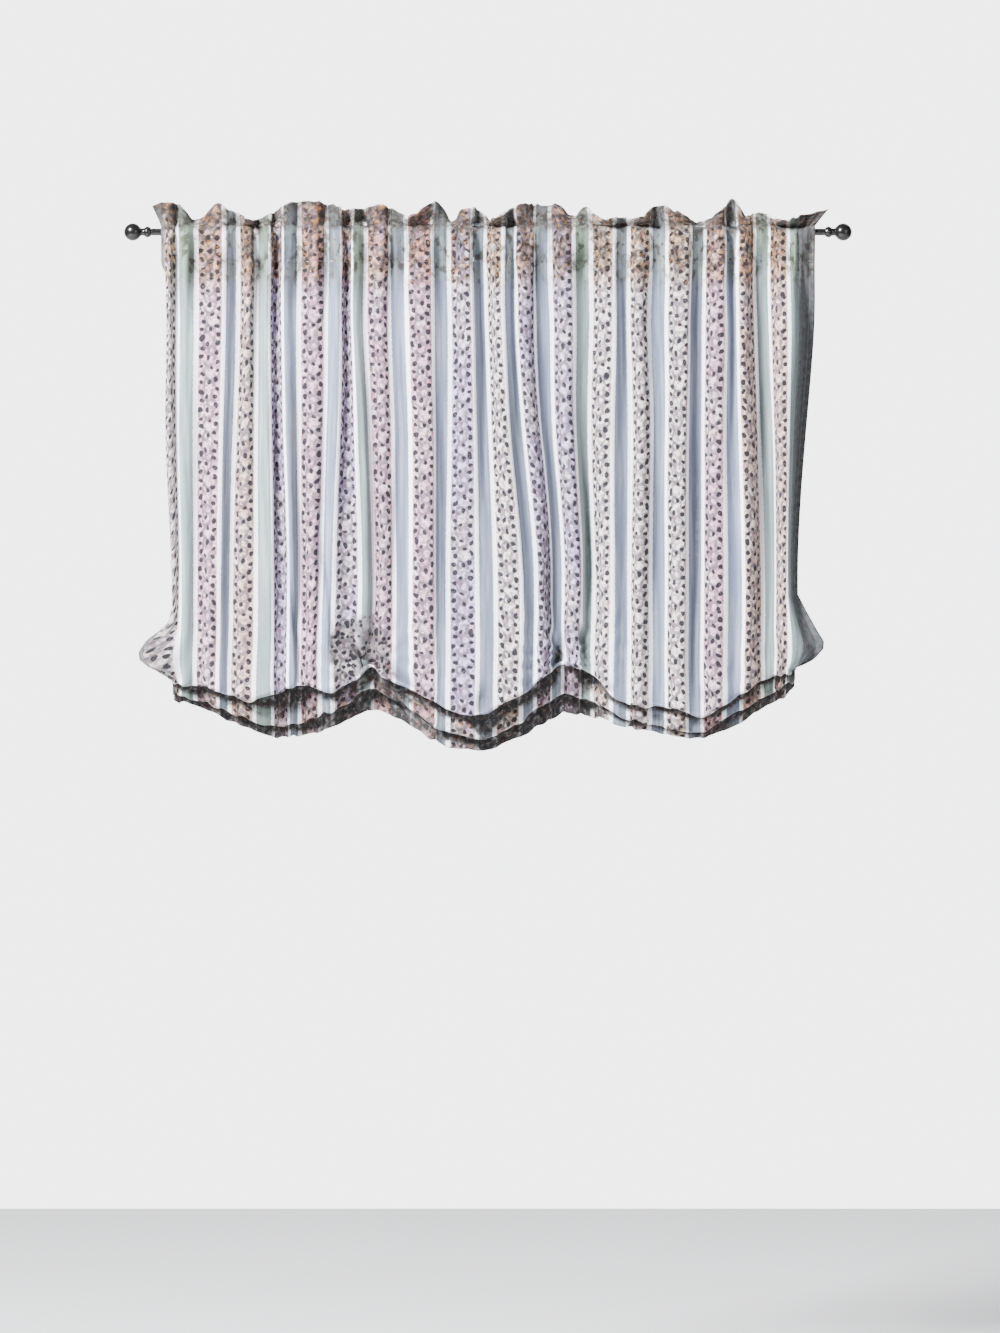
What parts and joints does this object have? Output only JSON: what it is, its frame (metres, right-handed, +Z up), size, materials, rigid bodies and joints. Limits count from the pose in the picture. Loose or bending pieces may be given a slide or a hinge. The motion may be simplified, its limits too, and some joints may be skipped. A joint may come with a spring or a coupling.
{
  "type": "window valance on its curtain rod",
  "caption": "Rod-pocket window valance with a ruffled heading, its foot drawn up into three soft swags with flared side edges, gathered on a thin rod with ball finials.",
  "frame": {"origin": "on the rod's centre line, at the middle of the rod's length", "axes": "+X along the rod to the viewer's right, -Y towards the room (the valance's face), +Z up"},
  "size_m": [1.1646, 0.094, 0.8804],
  "materials": {
    "valance_fabric": "matt cotton print, blue-grey and white stripes with bands of small vine",
    "rod_metal": "glossy black paint"
  },
  "bodies": {
    "root": {"valance_cloth": "valance_fabric", "rod": "rod_metal", "finial_left": "rod_metal", "finial_right": "rod_metal"}
  },
  "joints": []
}
